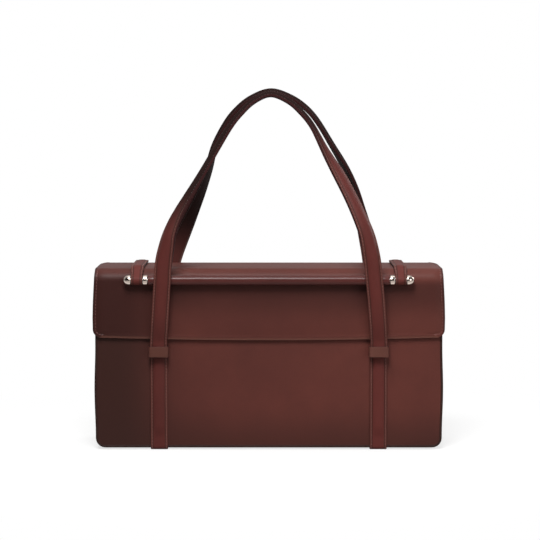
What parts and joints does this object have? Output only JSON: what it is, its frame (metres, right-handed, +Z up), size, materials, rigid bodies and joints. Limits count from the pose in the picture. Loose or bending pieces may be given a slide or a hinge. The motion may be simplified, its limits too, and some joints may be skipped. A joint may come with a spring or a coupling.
{
  "type": "handbag",
  "caption": "Wide structured leather handbag with a folding flap, a round leather-wrapped cross bar with metal ends, and two strap handles held by keepers.",
  "frame": {"origin": "on the surface the bag stands on, below the middle of its bounding box", "axes": "+Z up, through the bag's height with its handles standing; -Y towards the front with the cross bar; +X towards the right end as seen from the front"},
  "size_m": [0.3318, 0.127, 0.3411],
  "materials": {
    "calf_leather": "semi-gloss grained calf, deep burgundy",
    "lining_leather": "smooth matt, burgundy",
    "lining_cloth": "woven, matt",
    "fibreboard": "pressed fibre, matt",
    "felt": "pressed felt",
    "polished_metal": "polished",
    "plain_steel": "plain"
  },
  "bodies": {
    "body": {"front_panel": "calf_leather", "back_panel": "calf_leather", "left_gusset": "calf_leather", "right_gusset": "calf_leather", "base_panel": "calf_leather", "front_welt": "calf_leather", "back_welt": "calf_leather", "front_board": "fibreboard", "back_board": "fibreboard", "base_board": "fibreboard", "body_magnet": "plain_steel", "lining": "lining_cloth", "front_facing": "lining_leather", "back_facing": "lining_leather", "left_girth_strap": "calf_leather", "right_girth_strap": "calf_leather", "left_front_girth_filler": "felt", "left_back_girth_filler": "felt", "right_front_girth_filler": "felt", "right_back_girth_filler": "felt", "left_front_keeper": "calf_leather", "left_back_keeper": "calf_leather", "right_front_keeper": "calf_leather", "right_back_keeper": "calf_leather", "left_front_handle_tail": "calf_leather", "left_back_handle_tail": "calf_leather", "right_front_handle_tail": "calf_leather", "right_back_handle_tail": "calf_leather"},
    "flap": {"flap_top_leather": "calf_leather", "flap_top_board": "fibreboard", "flap_top_lining": "lining_leather", "left_tab": "calf_leather", "right_tab": "calf_leather"},
    "flap_front": {"flap_front_leather": "calf_leather", "flap_front_board": "fibreboard", "flap_front_lining": "lining_leather", "flap_magnet": "plain_steel"},
    "bar": {"bar_core": "plain_steel", "bar_sleeve": "calf_leather", "left_ferrule": "polished_metal", "right_ferrule": "polished_metal", "left_end_cap": "polished_metal", "right_end_cap": "polished_metal"},
    "front_handle": {"front_handle_face": "calf_leather", "front_handle_filler": "felt", "front_handle_lining": "lining_leather"},
    "back_handle": {"back_handle_face": "calf_leather", "back_handle_filler": "felt", "back_handle_lining": "lining_leather"}
  },
  "joints": [
    {"name": "flap_hinge", "type": "hinge", "parent": "body", "child": "flap", "pos_m": [0, 0.0392, 0.17085], "axis": [-1, 0, 0], "range_deg": [0, 80]},
    {"name": "flap_crease", "type": "hinge", "parent": "flap", "child": "flap_front", "pos_m": [0, -0.04215, 0.158], "axis": [-1, 0, 0], "range_deg": [-53, 0]},
    {"name": "bar_spin", "type": "hinge", "parent": "flap", "child": "bar", "pos_m": [0, -0.0489, 0.1622], "axis": [1, 0, 0], "continuous": true},
    {"name": "front_handle_swing", "type": "hinge", "parent": "body", "child": "front_handle", "pos_m": [0, -0.04615, 0.1035], "axis": [1, 0, 0], "range_deg": [0, 95]},
    {"name": "back_handle_swing", "type": "hinge", "parent": "body", "child": "back_handle", "pos_m": [0, 0.04615, 0.1035], "axis": [-1, 0, 0], "range_deg": [0, 95]}
  ],
  "couplings": [
    {"joint": "flap_crease", "follows": "flap_hinge", "ratio": -0.66}
  ]
}
